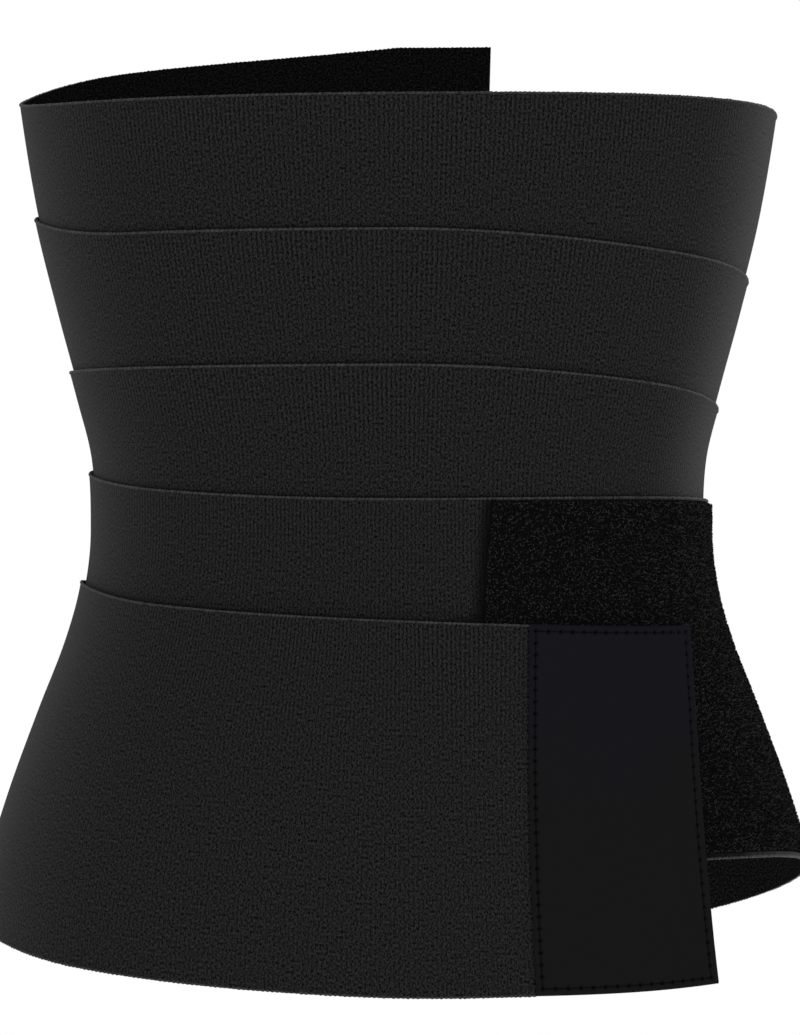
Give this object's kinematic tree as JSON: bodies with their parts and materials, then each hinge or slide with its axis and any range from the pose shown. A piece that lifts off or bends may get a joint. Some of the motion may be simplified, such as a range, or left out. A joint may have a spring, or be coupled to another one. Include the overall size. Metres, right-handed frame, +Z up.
{
  "type": "waist trimmer belt",
  "caption": "Long black knitted elastic band wound round the waist from ribs to hips, its plain stitched end panel held by hook tape on a loop pad sewn to the turn below.",
  "frame": {"origin": "the middle of the waist that the band is wound on, at the waist's height", "axes": "+Z up the body, -Y to the front, +X to the side that the end panel fastens on"},
  "size_m": [0.2966, 0.2152, 0.3362],
  "materials": {
    "knitted_elastic": "matte ribbed knit",
    "loop_pile": "brushed nylon loops",
    "panel_cover": "smooth satin cover",
    "hook_nylon": "matte"
  },
  "bodies": {
    "root": {"elastic_band": "knitted_elastic", "loop_pad": "loop_pile", "end_panel": "panel_cover", "hook_tape": "hook_nylon"}
  },
  "joints": []
}
